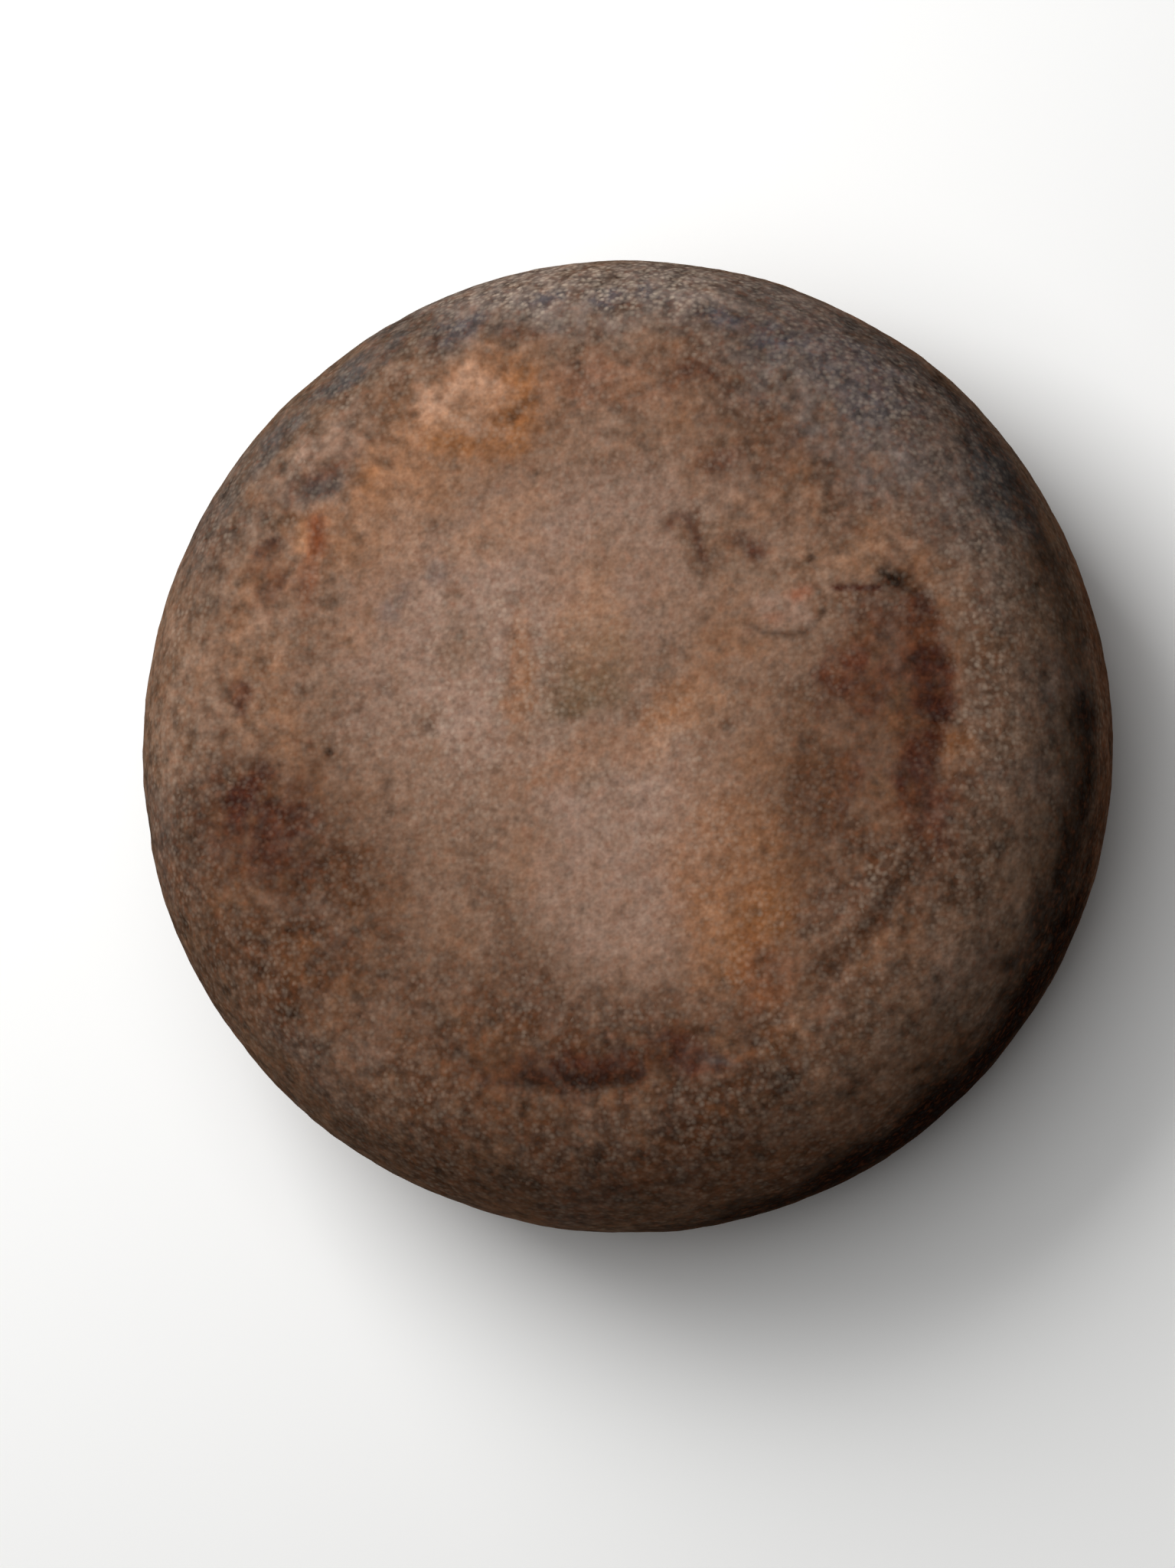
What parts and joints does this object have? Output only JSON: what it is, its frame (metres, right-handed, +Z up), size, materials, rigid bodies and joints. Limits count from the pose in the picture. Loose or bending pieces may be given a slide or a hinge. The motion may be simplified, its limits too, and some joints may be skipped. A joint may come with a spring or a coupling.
{
  "type": "cheese wheel",
  "caption": "Whole round wheel of matured Gouda-style cheese with flat faces, rounded shoulders, a bulging side and a mottled brown rind.",
  "frame": {"origin": "middle of the bottom face, on the surface that the wheel rests on", "axes": "+Z up along the wheel's own axis, from the face it rests on to the ringed upper face; +X and +Y lie in the bottom face, and the wheel is longest across, by about 4 mm, 30 degrees from +X towards -Y"},
  "size_m": [0.351, 0.349, 0.124],
  "materials": {
    "rind": "matte"
  },
  "bodies": {
    "root": {"cheese_wheel": "rind"}
  },
  "joints": []
}
